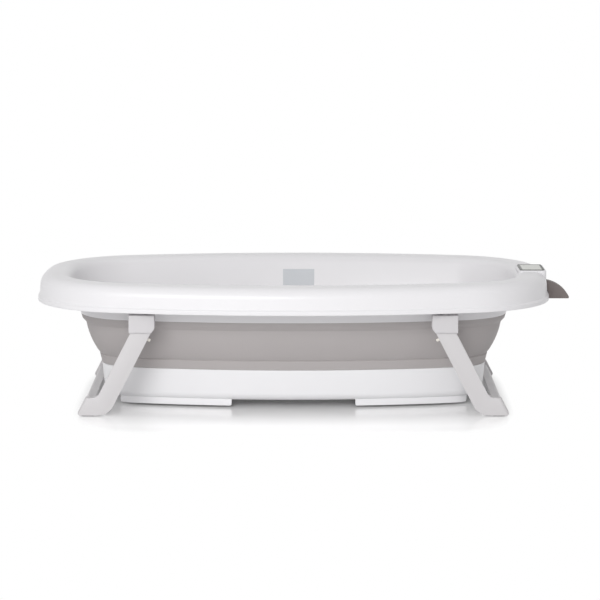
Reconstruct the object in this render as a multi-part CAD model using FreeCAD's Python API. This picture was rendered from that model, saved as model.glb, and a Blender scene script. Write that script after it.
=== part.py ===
"""Collapsible baby bath on two folding leg frames, in millimetres.

The bath stands on its four feet at z = 0 with +Z up and its long side along X.
Every piece is built about the bath's own middle and then moved so that the origin
lies under the middle of the whole part, whose +X end carries the hanging hook.
"""
import FreeCAD, Part
import math
import os
from FreeCAD import Vector

# Rim: a rolled oval channel with an outer skirt, a crest and an inner wall
RIM_LENGTH = 820.0
RIM_WIDTH = 470.0
CORNER_STEP = 69.0
SIDE_R = 1190.0
END_R = 567.0
CREST_Z = 206.0
SKIRT_Z = 164.0
RIM_WALL = 3.0
LIP_OUT = 2.5
LIP_HEIGHT = 6.0
SKIRT_DRAFT = 1.5
SHOULDER_R = 19.0
CREST_FLAT = 16.0
INNER_R = 16.0
COLLAR_Z = 142.5
COLLAR_INSET = 68.0

# Soft fold wall between the rim's collar and the base tub
FOLD_WALL = 3.0
FOLD_NECK_DROP = 7.0
FOLD_NECK_INSET = 2.0
FOLD_STEP_DROP = 13.5
FOLD_STEP_INSET = 8.0
FOLD_BULGE = 3.2
CREASE_Z = 78.0
CREASE_OUT = 3.0
FOLD_GAP = 0.3

# Base tub with its foot ring
BASE_TOP_Z = 62.7
BASE_TOP_INSET = 101.0
BASE_WALL = 3.0
BASE_DRAFT = 5.0
BASE_EDGE_R = 14.0
BASE_FLOOR_Z = 13.5
FOOT_RING_Z = 3.0
FOOT_RING_WIDTH = 4.0
FOOT_RING_STEP = 9.0
NOTCH_FROM_PIVOT = 134.0
NOTCH_CORNER_R = 3.5
END_NOTCH_INSET = 157.0

# Drain in the base floor and its stopper
DRAIN_INSET = 99.0
DRAIN_R = 15.0
PLUG_CLEARANCE = 0.3
PLUG_FLANGE_R = 21.0
PLUG_FLANGE_H = 3.0
PLUG_STEM_DEPTH = 6.0
PLUG_TAB_LENGTH = 18.0
PLUG_TAB_WIDTH = 5.0
PLUG_TAB_HEIGHT = 14.0
PLUG_TAB_R = 8.1

# Leg frames
PIVOT_INSET = 178.0
PIVOT_Z = 140.0
LEG_LEAN_DEG = 27.3
LEG_INSET = 20.17
ARM_THICKNESS = 17.0
ARM_WIDTH = 28.0
TOE_REACH = 16.5
TOE_TOP_Z = 29.0
TOE_HOLLOW_R = 12.0
TOE_TOP_R = 5.0
TOE_TIP_R = 4.0
HEEL_R = 30.0
ARM_POCKET_WALL = 3.0
ARM_POCKET_START = 36.0
ARM_POCKET_LENGTH = 27.0
ARM_POCKETS = 3
ARM_RIB = 3.0
CROSSBAR_GAP = 0.6
CROSSBAR_TOP_Z = 22.0
CROSSBAR_RECESS = 3.0
CROSSBAR_EDGE_R = 4.0

# Foot pads let into the toes
PAD_PROUD = 1.2
PAD_DEPTH = 1.5
PAD_LENGTH = 20.0
PAD_WIDTH = 11.0
PAD_INSET = 8.0

# Hinge pins and brackets
PIN_R = 4.0
PIN_SEAT_CLEARANCE = 0.02
PIN_RUN_CLEARANCE = 0.06
BRACKET_OUT = 23.0
BRACKET_IN = 17.0
BRACKET_Z = 130.5
CHEEK_GAP = 0.5
CHEEK = 3.5
PIN_COVER = 1.5
BRACKET_CHAMFER = 5.5
BRACKET_CHAMFER_H = 7.7
ARM_STOP_GAP = 0.3
SWING_GAP = 0.4
BUTTON_HEADROOM = 1.5
EAR_Z = 168.0
EAR_THICKNESS = 4.0
EAR_LENGTH = 14.0

# Fasteners
SCREW_R = 1.5
SCREW_CLEARANCE = 0.05
SCREW_HEAD_R = 3.2
SCREW_HEAD_H = 2.2
SCREW_BITE = 10.0
SCREW_HOLE_END = 1.0
EAR_HOLE_R = 2.1
BOSS_R = 5.0

# Spring-loaded lock buttons in the arm heads
BUTTON_AT = 15.0
BUTTON_NOSE_R = 2.4
BUTTON_TIP_R = 1.44
BUTTON_BODY_R = 3.8
BUTTON_BODY_LENGTH = 6.0
BUTTON_PROUD = 5.0
BUTTON_FIT = 0.2
BUTTON_SHOULDER = 3.0
BUTTON_REST_GAP = 0.3
SPRING_WIRE = 0.8
SPRING_FIT = 0.4
CAP_LENGTH = 5.0

# Hanging hook on the +X end
HOOK_REACH = 34.0
HOOK_WIDTH = 20.0
HOOK_TOP_Z = 189.0
HOOK_BOTTOM_Z = 159.5
HOOK_TIP_H = 3.0
HOOK_BEND_REACH = 21.08
HOOK_BEND_DROP = 10.62
HOOK_WALL = 3.0
HOOK_POCKET_START = 4.0
HOOK_POCKET_LENGTH = 18.0
HOOK_POCKET_TOP_Z = 174.0
HOOK_SCREW_GAP = 0.8
HOOK_SCREW_Y = 5.0
HOOK_SCREW_BITE = 6.0

# Thermometer module and the pocket that holds it in the +X end of the rim
MODULE_INSET = 27.5
MODULE_LENGTH = 39.2
MODULE_WIDTH = 68.0
MODULE_CORNER_R = 4.0
MODULE_WALL = 2.0
MODULE_LEDGE = 1.0
MODULE_INNER_R = 1.0
MODULE_GAP = 0.4
MODULE_FLOOR_Z = 186.3
MODULE_TOP_Z = 209.4
POCKET_WALL = 2.5
POCKET_TOP_Z = 208.0
POCKET_SEAT_GAP = 0.3
WINDOW_THICKNESS = 2.4
WINDOW_LEDGE = 1.2
DISPLAY_THICKNESS = 2.3
DISPLAY_MARGIN = 4.0
BOARD_THICKNESS = 1.6
CELL_R = 10.0
CELL_H = 3.2
CELL_Y = 10.0
COVER_R = 12.0
COVER_FIT = 0.2
SEAL_SECTION_R = 0.7
SENSOR_R = 3.0
SENSOR_Y = -17.0
SENSOR_PROUD = 0.25
SENSOR_LENGTH = 6.0

# Plain mark on the inside of the back wall
LABEL_X = 8.0
LABEL_LENGTH = 52.0
LABEL_LOW_Z = 157.0
LABEL_HIGH_Z = 183.0
LABEL_THICKNESS = 0.4
LABEL_GLUE = 0.1

HALF_LENGTH = RIM_LENGTH / 2
HALF_WIDTH = RIM_WIDTH / 2
CORNER_R = HALF_WIDTH - CORNER_STEP
CREASE_INSET = BASE_TOP_INSET - CREASE_OUT
FOOT_RING_INSET = BASE_TOP_INSET + BASE_DRAFT + FOOT_RING_STEP
DRAIN_X = HALF_LENGTH - BASE_TOP_INSET - DRAIN_INSET
PIVOT_X = HALF_LENGTH - PIVOT_INSET
NOTCH_HALF = PIVOT_X - NOTCH_FROM_PIVOT
END_NOTCH_HALF = HALF_WIDTH - END_NOTCH_INSET
MODULE_X = HALF_LENGTH - MODULE_INSET
POCKET_FLOOR_Z = MODULE_FLOOR_Z - POCKET_SEAT_GAP
HOOK_SCREW_Z = POCKET_FLOOR_Z - POCKET_WALL - SCREW_HEAD_R - HOOK_SCREW_GAP
TUB_X = -HOOK_REACH / 2
BIG = 1000.0
OVERCUT = 1.0
UP = Vector(0, 0, 1)


def corner_centre():
    """Centre of the corner arc that touches the end arc and the side arc."""
    end_x = HALF_LENGTH - END_R
    side_y = HALF_WIDTH - SIDE_R
    end_gap = END_R - CORNER_R
    side_gap = SIDE_R - CORNER_R
    apart = math.hypot(end_x, side_y)
    along = (end_gap ** 2 - side_gap ** 2 + apart ** 2) / (2 * apart)
    across = math.sqrt(end_gap ** 2 - along ** 2)
    ux = -end_x / apart
    uy = side_y / apart
    options = []
    for side in (1, -1):
        x = end_x + ux * along - side * uy * across
        y = uy * along + side * ux * across
        options.append((x, y))
    return max(options)


CORNER_X, CORNER_Y = corner_centre()
END_X = HALF_LENGTH - END_R
SIDE_Y = HALF_WIDTH - SIDE_R
LEG_OUTER_Y = SIDE_Y + math.sqrt(SIDE_R ** 2 - PIVOT_X ** 2) - LEG_INSET
END_TURN = math.degrees(math.atan2(CORNER_Y, CORNER_X - END_X))
SIDE_TURN = math.degrees(math.atan2(CORNER_Y - SIDE_Y, CORNER_X))


def oval_arcs():
    """The eight arcs of the oval: centre, radius, first angle and last angle."""
    return [
        (END_X, 0.0, END_R, -END_TURN, END_TURN),
        (CORNER_X, CORNER_Y, CORNER_R, END_TURN, SIDE_TURN),
        (0.0, SIDE_Y, SIDE_R, SIDE_TURN, 180 - SIDE_TURN),
        (-CORNER_X, CORNER_Y, CORNER_R, 180 - SIDE_TURN, 180 - END_TURN),
        (-END_X, 0.0, END_R, 180 - END_TURN, 180 + END_TURN),
        (-CORNER_X, -CORNER_Y, CORNER_R, 180 + END_TURN, 180 + SIDE_TURN),
        (0.0, -SIDE_Y, SIDE_R, 180 + SIDE_TURN, 360 - SIDE_TURN),
        (CORNER_X, -CORNER_Y, CORNER_R, 360 - SIDE_TURN, 360 - END_TURN),
    ]


def turned(x, y, radius, degrees, z=0.0):
    angle = math.radians(degrees)
    return Vector(x + radius * math.cos(angle), y + radius * math.sin(angle), z)


def profile_face(profile, place):
    """Closed face from a list of points and ("arc", middle, end) entries."""
    edges = []
    here = profile[0]
    for step in profile[1:] + [profile[0]]:
        if step[0] == "arc":
            edges.append(Part.Arc(place(*here), place(*step[1]), place(*step[2])).toShape())
            here = step[2]
        elif math.dist(here, step) > 1e-6:
            edges.append(Part.LineSegment(place(*here), place(*step)).toShape())
            here = step
    return Part.Face(Part.Wire(edges))


def oval_ring(profile):
    """Sweep an (inset, z) profile once round the oval."""
    sectors = []
    for x, y, radius, first, last in oval_arcs():
        face = profile_face(profile, lambda inset, z: turned(x, y, radius - inset, first, z))
        sectors.append(face.revolve(Vector(x, y, 0), UP, last - first))
    return sectors[0].fuse(sectors[1:]).removeSplitter()


def oval_plate(inset, low, high):
    edges = []
    for x, y, radius, first, last in oval_arcs():
        ends = [turned(x, y, radius - inset, a, low) for a in (first, (first + last) / 2, last)]
        edges.append(Part.Arc(*ends).toShape())
    return Part.Face(Part.Wire(edges)).extrude(Vector(0, 0, high - low))


def box(low, high):
    size = [b - a for a, b in zip(low, high)]
    return Part.makeBox(*size, Vector(*low))


def rod(radius, start, end):
    run = Vector(*end) - Vector(*start)
    return Part.makeCylinder(radius, run.Length, Vector(*start), run)


def round_corners(solid, corners):
    """Round the edges that run along Y through the given (x, z, radius) corners."""
    for x, z, radius in corners:
        edges = []
        for edge in solid.Edges:
            points = [v.Point for v in edge.Vertexes]
            if len(points) == 2 and all(math.dist((p.x, p.z), (x, z)) < 0.01 for p in points):
                edges.append(edge)
        solid = solid.makeFillet(radius, edges)
    return solid


def prism_y(points, low_y, high_y):
    face = profile_face(points, lambda x, z: Vector(x, low_y, z))
    return face.extrude(Vector(0, high_y - low_y, 0))


def mirror_x(shape):
    return shape.mirror(Vector(0, 0, 0), Vector(1, 0, 0))


def mirror_y(shape):
    return shape.mirror(Vector(0, 0, 0), Vector(0, 1, 0))


def four_ways(shape):
    """Copies of a piece of the back right corner, by corner name."""
    front = mirror_y(shape)
    return {
        "back_right": shape,
        "back_left": mirror_x(shape),
        "front_right": front,
        "front_left": mirror_x(front),
    }


def compound(shapes):
    return Part.makeCompound(list(shapes))


# Sizes that follow from the driving dimensions
SHOULDER_INSET = LIP_OUT + SKIRT_DRAFT
CREST_START = SHOULDER_INSET + SHOULDER_R
CREST_END = CREST_START + CREST_FLAT
INNER_Z = CREST_Z - INNER_R
COLLAR_INSIDE = COLLAR_INSET + RIM_WALL


def inner_lean():
    """Lean of the inner wall, tangent to the inner crest arc, in radians."""
    across = COLLAR_INSIDE - CREST_END
    down = INNER_Z - COLLAR_Z
    reach = math.hypot(across, down)
    return math.atan2(across, down) - math.asin(INNER_R / reach)


INNER_LEAN = inner_lean()


def on_arc(inset, z, radius, angle):
    return (inset + radius * math.cos(angle), z + radius * math.sin(angle))


def rim_skin(depth):
    """Outer line of the rim section, moved into the wall by depth, from skirt to collar."""
    outer = SHOULDER_R - depth
    inner = INNER_R - depth
    turn_z = CREST_Z - SHOULDER_R
    half = math.pi / 4
    tip = on_arc(CREST_END, INNER_Z, inner, INNER_LEAN)
    slant = math.tan(INNER_LEAN)
    end = (tip[0] + (tip[1] - COLLAR_Z) * slant, COLLAR_Z)
    middle = on_arc(CREST_END, INNER_Z, inner, (math.pi / 2 + INNER_LEAN) / 2)
    return [
        (SHOULDER_INSET + depth, turn_z),
        ("arc", on_arc(CREST_START, turn_z, outer, math.pi - half), (CREST_START, CREST_Z - depth)),
        (CREST_END, CREST_Z - depth),
        ("arc", middle, tip),
        end,
    ]


def reversed_profile(profile):
    """The same line walked from its far end."""
    points = [step[2] if step[0] == "arc" else step for step in profile]
    back = [points[-1]]
    for index in range(len(profile) - 1, 0, -1):
        step = profile[index]
        target = points[index - 1]
        back.append(("arc", step[1], target) if step[0] == "arc" else target)
    return back


def lip_line():
    lip_top = SKIRT_Z + LIP_HEIGHT
    return [(RIM_WALL, SKIRT_Z), (0.0, SKIRT_Z), (0.0, lip_top), (LIP_OUT, lip_top + LIP_OUT)]


def rim_section():
    return lip_line() + rim_skin(0.0) + reversed_profile(rim_skin(RIM_WALL))


def rim_envelope():
    """The rim filled in below its crest, used to shape what is fixed against it."""
    filled = lip_line()[1:] + rim_skin(0.0) + [(rim_skin(0.0)[-1][0], SKIRT_Z)]
    return oval_ring(filled)


ARM_HALF = ARM_WIDTH / 2
LEG_INNER_Y = LEG_OUTER_Y - ARM_THICKNESS
ARM_MID_Y = (LEG_OUTER_Y + LEG_INNER_Y) / 2
CHEEK_OUTER_Y = LEG_OUTER_Y + CHEEK_GAP + CHEEK
CHEEK_INNER_Y = LEG_INNER_Y - CHEEK_GAP - CHEEK
EAR_XS = (PIVOT_X - BRACKET_IN - EAR_LENGTH / 2, PIVOT_X + BRACKET_OUT + EAR_LENGTH / 2)
LEAN = math.radians(LEG_LEAN_DEG)


def arm_point(along, out):
    """(x, z) of a point along the arm from the pivot and out from its middle line."""
    x = PIVOT_X + along * math.sin(LEAN) + out * math.cos(LEAN)
    z = PIVOT_Z - along * math.cos(LEAN) + out * math.sin(LEAN)
    return (x, z)


def arm_at_height(out, z):
    along = (PIVOT_Z + out * math.sin(LEAN) - z) / math.cos(LEAN)
    return arm_point(along, out)


def arm_vector(along, out, y):
    x, z = arm_point(along, out)
    return (x, y, z)


def pocket_box():
    reach = MODULE_LENGTH / 2 + MODULE_GAP
    side = MODULE_WIDTH / 2 + MODULE_GAP
    return reach, side


def rim_frame():
    body = oval_ring(rim_section())
    reach, side = pocket_box()
    outer_r = MODULE_CORNER_R + POCKET_WALL
    shell = rounded_block(reach + POCKET_WALL, side + POCKET_WALL, POCKET_FLOOR_Z - POCKET_WALL,
                          POCKET_TOP_Z, outer_r)
    hollow = rounded_block(reach, side, POCKET_FLOOR_Z, POCKET_TOP_Z + BIG, MODULE_CORNER_R)
    body = body.fuse(shell).cut(hollow)
    posts = []
    holes = []
    for x in EAR_XS:
        for post_x in (x, -x):
            for y in (ARM_MID_Y, -ARM_MID_Y):
                top = CREST_Z - RIM_WALL / 2
                ear_top = EAR_Z + EAR_THICKNESS
                posts.append(rod(BOSS_R, (post_x, y, ear_top), (post_x, y, top)))
                hole_end = ear_top + SCREW_BITE + SCREW_HOLE_END
                hole = rod(SCREW_R + SCREW_CLEARANCE, (post_x, y, ear_top), (post_x, y, hole_end))
                holes.append(hole)
    for y in (HOOK_SCREW_Y, -HOOK_SCREW_Y):
        start = (HALF_LENGTH - SHOULDER_INSET - 2 * RIM_WALL, y, HOOK_SCREW_Z)
        holes.append(rod(SCREW_R + SCREW_CLEARANCE, start, (HALF_LENGTH, y, HOOK_SCREW_Z)))
    return body.fuse(posts).cut(holes).removeSplitter()


def rounded_block(half_x, half_y, low, high, radius):
    """Upright block about the module's middle with rounded upright edges."""
    block = box((MODULE_X - half_x, -half_y, low), (MODULE_X + half_x, half_y, high))
    uprights = [e for e in block.Edges if abs(e.tangentAt(e.FirstParameter).z) > 0.9]
    return block.makeFillet(radius, uprights)


def fold_line(shift):
    """One face of the fold wall, from the collar down to the base, moved in by shift."""
    neck = (COLLAR_INSET + FOLD_NECK_INSET + shift, COLLAR_Z - FOLD_NECK_DROP)
    step = (COLLAR_INSET + FOLD_STEP_INSET + shift, COLLAR_Z - FOLD_STEP_DROP)
    crease = (CREASE_INSET + shift, CREASE_Z)
    run = math.dist(step, crease)
    middle_inset = (step[0] + crease[0]) / 2 - FOLD_BULGE * (step[1] - crease[1]) / run
    middle_z = (step[1] + crease[1]) / 2 - FOLD_BULGE * (crease[0] - step[0]) / run
    foot = (BASE_TOP_INSET + shift, BASE_TOP_Z + FOLD_GAP)
    return [
        (COLLAR_INSET + shift, COLLAR_Z),
        neck,
        step,
        ("arc", (middle_inset, middle_z), crease),
        foot,
    ]


def fold_wall():
    return oval_ring(fold_line(0.0) + reversed_profile(fold_line(FOLD_WALL)))


def base_tub():
    edge_inset = BASE_TOP_INSET + BASE_DRAFT
    edge_z = BASE_FLOOR_Z + BASE_EDGE_R
    middle = edge_inset + BASE_EDGE_R
    turn = math.radians(225)
    inside_r = BASE_EDGE_R - BASE_WALL
    section = [
        (BASE_TOP_INSET, BASE_TOP_Z),
        (edge_inset, edge_z),
        ("arc", on_arc(middle, edge_z, BASE_EDGE_R, turn), (middle, BASE_FLOOR_Z)),
        (middle, BASE_FLOOR_Z + BASE_WALL),
        ("arc", on_arc(middle, edge_z, inside_r, turn), (edge_inset + BASE_WALL, edge_z)),
        (BASE_TOP_INSET + BASE_WALL, BASE_TOP_Z),
    ]
    ring_in = FOOT_RING_INSET + FOOT_RING_WIDTH
    ring_top = BASE_FLOOR_Z + BASE_WALL / 2
    foot_ring = [
        (FOOT_RING_INSET, FOOT_RING_Z),
        (FOOT_RING_INSET, ring_top),
        (ring_in, ring_top),
        (ring_in, FOOT_RING_Z),
    ]
    low = FOOT_RING_Z - OVERCUT
    notch = box((-NOTCH_HALF, -HALF_WIDTH, low), (NOTCH_HALF, HALF_WIDTH, BASE_FLOOR_Z))
    half = END_NOTCH_HALF
    end_notch = box((-HALF_LENGTH, -half, low), (HALF_LENGTH, half, BASE_FLOOR_Z))
    flare_x = NOTCH_HALF + NOTCH_CORNER_R
    flare_z = FOOT_RING_Z + NOTCH_CORNER_R
    flare = box((-flare_x, -HALF_WIDTH, low), (flare_x, HALF_WIDTH, flare_z))
    for x in (flare_x, -flare_x):
        flare = flare.cut(rod(NOTCH_CORNER_R, (x, -HALF_WIDTH, flare_z), (x, HALF_WIDTH, flare_z)))
    ring = oval_ring(foot_ring).cut([notch, flare, end_notch])
    floor = oval_plate(middle, BASE_FLOOR_Z, BASE_FLOOR_Z + BASE_WALL)
    drain = rod(DRAIN_R, (DRAIN_X, 0, 0), (DRAIN_X, 0, BASE_TOP_Z))
    return oval_ring(section).fuse([floor, ring]).cut(drain).removeSplitter()


def drain_plug():
    seat = BASE_FLOOR_Z + BASE_WALL + PLUG_CLEARANCE
    top = seat + PLUG_FLANGE_H
    flange = rod(PLUG_FLANGE_R, (DRAIN_X, 0, seat), (DRAIN_X, 0, top))
    stem = rod(DRAIN_R - PLUG_CLEARANCE, (DRAIN_X, 0, seat - PLUG_STEM_DEPTH), (DRAIN_X, 0, seat))
    half = PLUG_TAB_LENGTH / 2
    tab = box((DRAIN_X - half, -PLUG_TAB_WIDTH / 2, top),
              (DRAIN_X + half, PLUG_TAB_WIDTH / 2, top + PLUG_TAB_HEIGHT))
    tab_top = top + PLUG_TAB_HEIGHT
    tab = round_corners(tab, [(DRAIN_X + s * half, tab_top, PLUG_TAB_R) for s in (1, -1)])
    return flange.fuse([stem, tab]).removeSplitter()


def inside_label():
    skin = rim_skin(0.0)
    tip = skin[3][2]
    end = skin[4]
    faces = (LABEL_GLUE, LABEL_GLUE + LABEL_THICKNESS)
    low_line, high_line = [[on_arc(*at, lift, INNER_LEAN) for at in (tip, end)] for lift in faces]
    section = low_line + high_line[::-1]
    half = LABEL_LENGTH / 2
    window = box((LABEL_X - half, 0, LABEL_LOW_Z), (LABEL_X + half, BIG, LABEL_HIGH_Z))
    return oval_ring(section).common(window)


def arm_block(along, out, low_y, high_y):
    """Box in the arm's own directions: ranges along it and out from its middle line."""
    corners = [(along[0], out[0]), (along[1], out[0]), (along[1], out[1]), (along[0], out[1])]
    return prism_y([arm_point(*c) for c in corners], low_y, high_y)


def button_bore(radius, first, last):
    return rod(radius, arm_vector(BUTTON_AT, first, ARM_MID_Y), arm_vector(BUTTON_AT, last, ARM_MID_Y))


def leg_arm():
    """The back arm of the right leg frame with its toe."""
    toe_out = ARM_HALF + TOE_REACH
    corners = {
        "hollow": arm_at_height(ARM_HALF, TOE_TOP_Z),
        "toe_top": arm_at_height(toe_out, TOE_TOP_Z),
        "toe_tip": arm_at_height(toe_out, PAD_PROUD),
        "heel": arm_at_height(-ARM_HALF, PAD_PROUD),
    }
    outline = [arm_point(0, ARM_HALF)] + list(corners.values()) + [arm_point(0, -ARM_HALF)]
    arm = prism_y(outline, LEG_INNER_Y, LEG_OUTER_Y)
    radii = {"hollow": TOE_HOLLOW_R, "toe_top": TOE_TOP_R, "toe_tip": TOE_TIP_R, "heel": HEEL_R}
    arm = round_corners(arm, [(*corners[name], radii[name]) for name in corners])
    head = rod(ARM_HALF, (PIVOT_X, LEG_INNER_Y, PIVOT_Z), (PIVOT_X, LEG_OUTER_Y, PIVOT_Z))
    cuts = [rod(PIN_R + PIN_RUN_CLEARANCE, (PIVOT_X, 0, PIVOT_Z), (PIVOT_X, BIG, PIVOT_Z))]
    pocket_half = ARM_HALF - ARM_POCKET_WALL
    for index in range(ARM_POCKETS):
        start = ARM_POCKET_START + index * (ARM_POCKET_LENGTH + ARM_RIB)
        ends = (start, start + ARM_POCKET_LENGTH)
        top_y = LEG_OUTER_Y - ARM_POCKET_WALL
        cuts.append(arm_block(ends, (-pocket_half, pocket_half), LEG_INNER_Y, top_y))
    cuts.append(button_bore(BUTTON_NOSE_R + BUTTON_FIT, -ARM_WIDTH, 0))
    cuts.append(button_bore(BUTTON_BODY_R + BUTTON_FIT, -ARM_HALF + BUTTON_SHOULDER, ARM_WIDTH))
    cuts.append(foot_pad(0.0))
    return arm.fuse(head).cut(cuts)


def foot_pad(low):
    """Rubber pad, or its recess, in the underside of the back toe of the right frame."""
    tip_x = arm_at_height(ARM_HALF + TOE_REACH, PAD_PROUD)[0]
    x = tip_x - PAD_INSET
    half = PAD_WIDTH / 2
    return box((x - PAD_LENGTH, ARM_MID_Y - half, low), (x, ARM_MID_Y + half, PAD_PROUD + PAD_DEPTH))


def crossbar():
    inner = ARM_HALF + CROSSBAR_GAP
    outer = ARM_HALF + TOE_REACH - CROSSBAR_RECESS
    top = CROSSBAR_TOP_Z
    bottom = PAD_PROUD + CROSSBAR_RECESS
    points = [
        arm_at_height(inner, bottom),
        arm_at_height(outer, bottom),
        arm_at_height(outer, top),
        arm_at_height(inner, top),
    ]
    end_y = LEG_INNER_Y + ARM_POCKET_WALL
    bar = prism_y(points, -end_y, end_y)
    return round_corners(bar, [(*points[1], CROSSBAR_EDGE_R), (*points[2], CROSSBAR_EDGE_R)])


def leg_frame():
    arm = leg_arm()
    return arm.fuse([mirror_y(arm), crossbar()]).removeSplitter()


def lock_button():
    shoulder = -ARM_HALF + BUTTON_SHOULDER + BUTTON_REST_GAP
    nose = button_bore(BUTTON_NOSE_R, -ARM_HALF - BUTTON_PROUD, shoulder)
    front = Vector(*arm_vector(BUTTON_AT, -ARM_HALF - BUTTON_PROUD, ARM_MID_Y))
    tip = [e for e in nose.Edges if e.CenterOfMass.distanceToPoint(front) < 0.01]
    nose = nose.makeFillet(BUTTON_TIP_R, tip)
    return nose.fuse(button_bore(BUTTON_BODY_R, shoulder, shoulder + BUTTON_BODY_LENGTH)).removeSplitter()


def lock_spring():
    start = -ARM_HALF + BUTTON_SHOULDER + BUTTON_REST_GAP + BUTTON_BODY_LENGTH
    end = ARM_HALF - CAP_LENGTH
    outer = BUTTON_BODY_R - SPRING_FIT
    return button_bore(outer, start, end).cut(button_bore(outer - SPRING_WIRE, start, end))


def spring_cap():
    return button_bore(BUTTON_BODY_R + BUTTON_FIT, ARM_HALF - CAP_LENGTH, ARM_HALF)


def bracket():
    """Bracket of the back right corner: two cheeks, an outer stop wall and a screwed top."""
    x_in = PIVOT_X - BRACKET_IN
    x_out = PIVOT_X + BRACKET_OUT
    top = EAR_Z + EAR_THICKNESS
    outline = [
        (x_in, top),
        (x_in, BRACKET_Z + BRACKET_CHAMFER_H),
        (x_in + BRACKET_CHAMFER, BRACKET_Z),
        (x_out, BRACKET_Z),
        (x_out, top),
    ]
    body = prism_y(outline, CHEEK_INNER_Y, CHEEK_OUTER_Y)
    ears = box((x_in - EAR_LENGTH, CHEEK_INNER_Y, EAR_Z), (x_out + EAR_LENGTH, CHEEK_OUTER_Y, top))
    swing = ARM_HALF + SWING_GAP
    stop = ARM_HALF + ARM_STOP_GAP
    ceiling = PIVOT_Z + ARM_HALF + BUTTON_PROUD + BUTTON_HEADROOM
    low = BRACKET_Z - OVERCUT
    cavity = [
        arm_at_height(stop, low),
        arm_point(0, stop),
        (PIVOT_X, PIVOT_Z),
        (PIVOT_X, ceiling),
        (x_in - OVERCUT, ceiling),
        (x_in - OVERCUT, low),
    ]
    gap_low = LEG_INNER_Y - CHEEK_GAP
    gap_high = LEG_OUTER_Y + CHEEK_GAP
    cuts = [prism_y(cavity, gap_low, gap_high)]
    cuts.append(rod(swing, (PIVOT_X, gap_low, PIVOT_Z), (PIVOT_X, gap_high, PIVOT_Z)))
    pin_hole = PIN_R + PIN_SEAT_CLEARANCE
    pin_end = CHEEK_OUTER_Y - PIN_COVER
    cuts.append(rod(pin_hole, (PIVOT_X, CHEEK_INNER_Y, PIVOT_Z), (PIVOT_X, pin_end, PIVOT_Z)))
    for x in EAR_XS:
        cuts.append(rod(EAR_HOLE_R, (x, ARM_MID_Y, EAR_Z), (x, ARM_MID_Y, top)))
    return body.fuse(ears).cut(cuts).removeSplitter()


def hinge_pin():
    return rod(PIN_R, (PIVOT_X, CHEEK_INNER_Y, PIVOT_Z), (PIVOT_X, CHEEK_OUTER_Y - PIN_COVER, PIVOT_Z))


def screw(start, direction, length):
    """Pan-head screw whose head sits under start and whose shank runs along direction."""
    begin = Vector(*start)
    way = Vector(*direction)
    shank = Part.makeCylinder(SCREW_R, length, begin, way)
    head = Part.makeCylinder(SCREW_HEAD_R, SCREW_HEAD_H, begin - way * SCREW_HEAD_H, way)
    return shank.fuse(head).removeSplitter()


def bracket_screws():
    length = EAR_THICKNESS + SCREW_BITE
    return [screw((x, ARM_MID_Y, EAR_Z), (0, 0, 1), length) for x in EAR_XS]


def hook_seat_x():
    return HALF_LENGTH - SHOULDER_INSET - RIM_WALL


def hanging_hook():
    tip = HALF_LENGTH + HOOK_REACH
    root = hook_seat_x()
    bend = (HALF_LENGTH + HOOK_BEND_REACH, HOOK_TOP_Z - HOOK_BEND_DROP)
    outline = [
        (root, HOOK_BOTTOM_Z),
        (root, HOOK_TOP_Z),
        ("arc", bend, (tip, HOOK_BOTTOM_Z + HOOK_TIP_H)),
        (tip, HOOK_BOTTOM_Z),
    ]
    half = HOOK_WIDTH / 2
    body = prism_y(outline, -half, half)
    pocket_x = HALF_LENGTH + HOOK_POCKET_START
    low = HOOK_BOTTOM_Z - OVERCUT
    pocket = box((pocket_x, -half + HOOK_WALL, low),
                 (pocket_x + HOOK_POCKET_LENGTH, half - HOOK_WALL, HOOK_POCKET_TOP_Z))
    behind = box((root - OVERCUT, -half, low), (HALF_LENGTH, half, SKIRT_Z))
    cuts = [rim_envelope(), pocket, behind]
    for y in (HOOK_SCREW_Y, -HOOK_SCREW_Y):
        end = HALF_LENGTH - SHOULDER_INSET + HOOK_SCREW_BITE + SCREW_HOLE_END
        cuts.append(rod(SCREW_R + SCREW_CLEARANCE, (root, y, HOOK_SCREW_Z), (end, y, HOOK_SCREW_Z)))
    return body.cut(cuts)


def hook_screws():
    start = hook_seat_x()
    length = RIM_WALL + HOOK_SCREW_BITE
    return [screw((start, y, HOOK_SCREW_Z), (1, 0, 0), length) for y in (HOOK_SCREW_Y, -HOOK_SCREW_Y)]


# Levels inside the thermometer module
CAVITY_FLOOR_Z = MODULE_FLOOR_Z + MODULE_WALL
WINDOW_Z = MODULE_TOP_Z - WINDOW_THICKNESS
DISPLAY_Z = WINDOW_Z - DISPLAY_THICKNESS
BOARD_Z = DISPLAY_Z - BOARD_THICKNESS
CELL_Z = CAVITY_FLOOR_Z + MODULE_WALL / 2
MODULE_HALF_X = MODULE_LENGTH / 2
MODULE_HALF_Y = MODULE_WIDTH / 2


def thermometer_case():
    block = rounded_block(MODULE_HALF_X, MODULE_HALF_Y, MODULE_FLOOR_Z, MODULE_TOP_Z, MODULE_CORNER_R)
    wide = WINDOW_LEDGE
    top = MODULE_TOP_Z + OVERCUT
    seat = rounded_block(MODULE_HALF_X - wide, MODULE_HALF_Y - wide, WINDOW_Z, top,
                         MODULE_CORNER_R - wide)
    narrow = wide + MODULE_WALL
    hollow = rounded_block(MODULE_HALF_X - narrow, MODULE_HALF_Y - narrow, BOARD_Z, top, MODULE_INNER_R)
    narrow += MODULE_LEDGE
    well = rounded_block(MODULE_HALF_X - narrow, MODULE_HALF_Y - narrow, CAVITY_FLOOR_Z, MODULE_TOP_Z,
                         MODULE_INNER_R)
    hatch = rod(COVER_R + COVER_FIT, (MODULE_X, CELL_Y, 0), (MODULE_X, CELL_Y, CELL_Z))
    sensor_hole = rod(SENSOR_R, (MODULE_X, SENSOR_Y, 0), (MODULE_X, SENSOR_Y, CELL_Z))
    return block.cut([seat, hollow, well, hatch, sensor_hole])


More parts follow.
